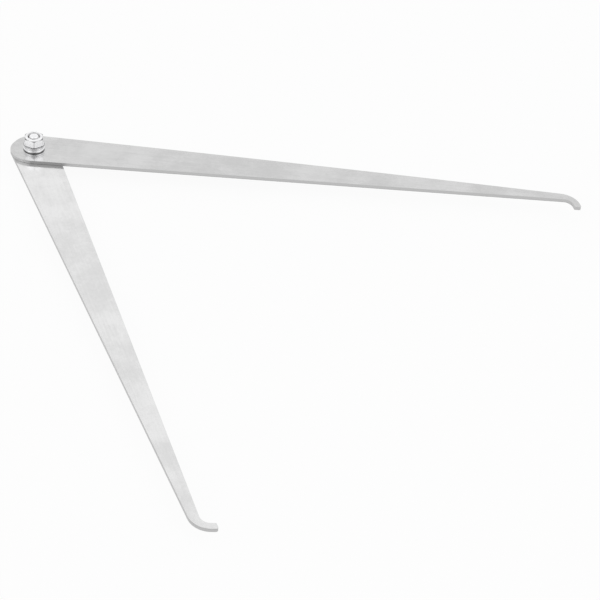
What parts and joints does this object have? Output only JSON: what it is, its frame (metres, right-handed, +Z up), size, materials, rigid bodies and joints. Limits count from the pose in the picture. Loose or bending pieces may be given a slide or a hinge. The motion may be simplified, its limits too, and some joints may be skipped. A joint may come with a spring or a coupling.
{
  "type": "inside caliper",
  "caption": "Firm-joint inside caliper: flat tapered steel legs with curved feet, clamped face to face on a bolt so that they turn stiffly and hold their setting.",
  "frame": {"origin": "on the pivot axis, at the outer face of the bolt's head, which lies on the table", "axes": "+Z up along the pivot towards the nut, +X halves the angle between the open legs, +Y towards the upper leg"},
  "size_m": [0.2741, 0.3358, 0.018],
  "materials": {
    "leg_steel": "lightly brushed polish",
    "fastener_zinc": "bright zinc plate"
  },
  "bodies": {
    "lower_side": {"pivot_bolt": "fastener_zinc", "head_washer": "fastener_zinc", "lower_leg": "leg_steel", "flat_washer": "fastener_zinc", "spring_washer": "fastener_zinc", "hex_nut": "fastener_zinc"},
    "upper_side": {"upper_leg": "leg_steel"}
  },
  "joints": [
    {"name": "leg_pivot", "type": "hinge", "parent": "lower_side", "child": "upper_side", "pos_m": [0, 0, 0.0086], "axis": [0, 0, 1], "continuous": true}
  ]
}
